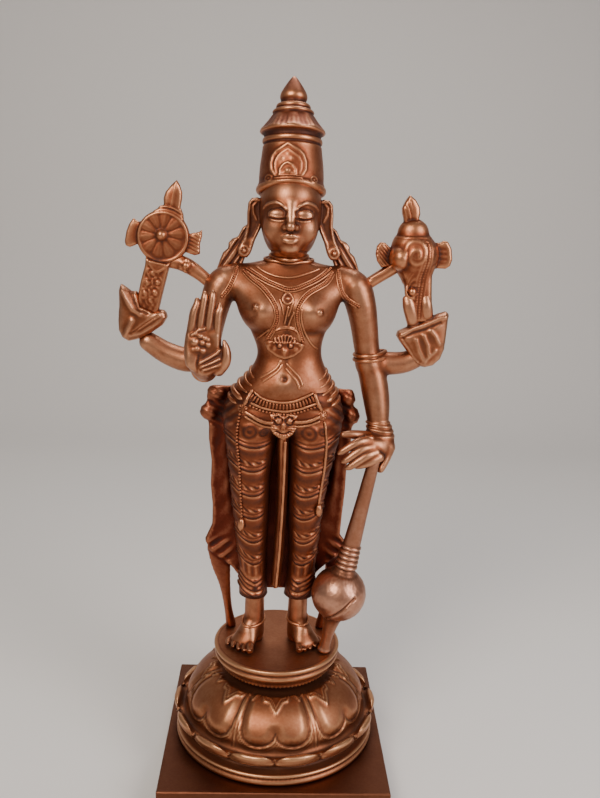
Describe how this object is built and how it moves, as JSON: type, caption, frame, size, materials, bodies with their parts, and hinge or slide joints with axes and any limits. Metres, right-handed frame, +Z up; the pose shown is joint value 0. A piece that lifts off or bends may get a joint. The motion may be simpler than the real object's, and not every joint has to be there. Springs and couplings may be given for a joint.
{
  "type": "vishnu figure",
  "caption": "Standing four-armed Vishnu cast in bronze, with wheel, conch and mace, on a round lotus pedestal and a square slab.",
  "frame": {"origin": "centre of the slab's flat underside, where the statue stands", "axes": "+Z up, the figure faces -Y, +X is the viewer's right in the picture"},
  "size_m": [0.2817, 0.2, 0.6097],
  "materials": {
    "base_bronze": "satin cast bronze with a brown patina",
    "pedestal_bronze": "satin cast bronze, worn bright on raised parts, dark in hollows",
    "figure_bronze": "satin cast bronze, worn bright on raised parts, dark in hollows"
  },
  "bodies": {
    "root": {"square_base": "base_bronze", "lotus_pedestal": "pedestal_bronze", "vishnu_figure": "figure_bronze"}
  },
  "joints": []
}
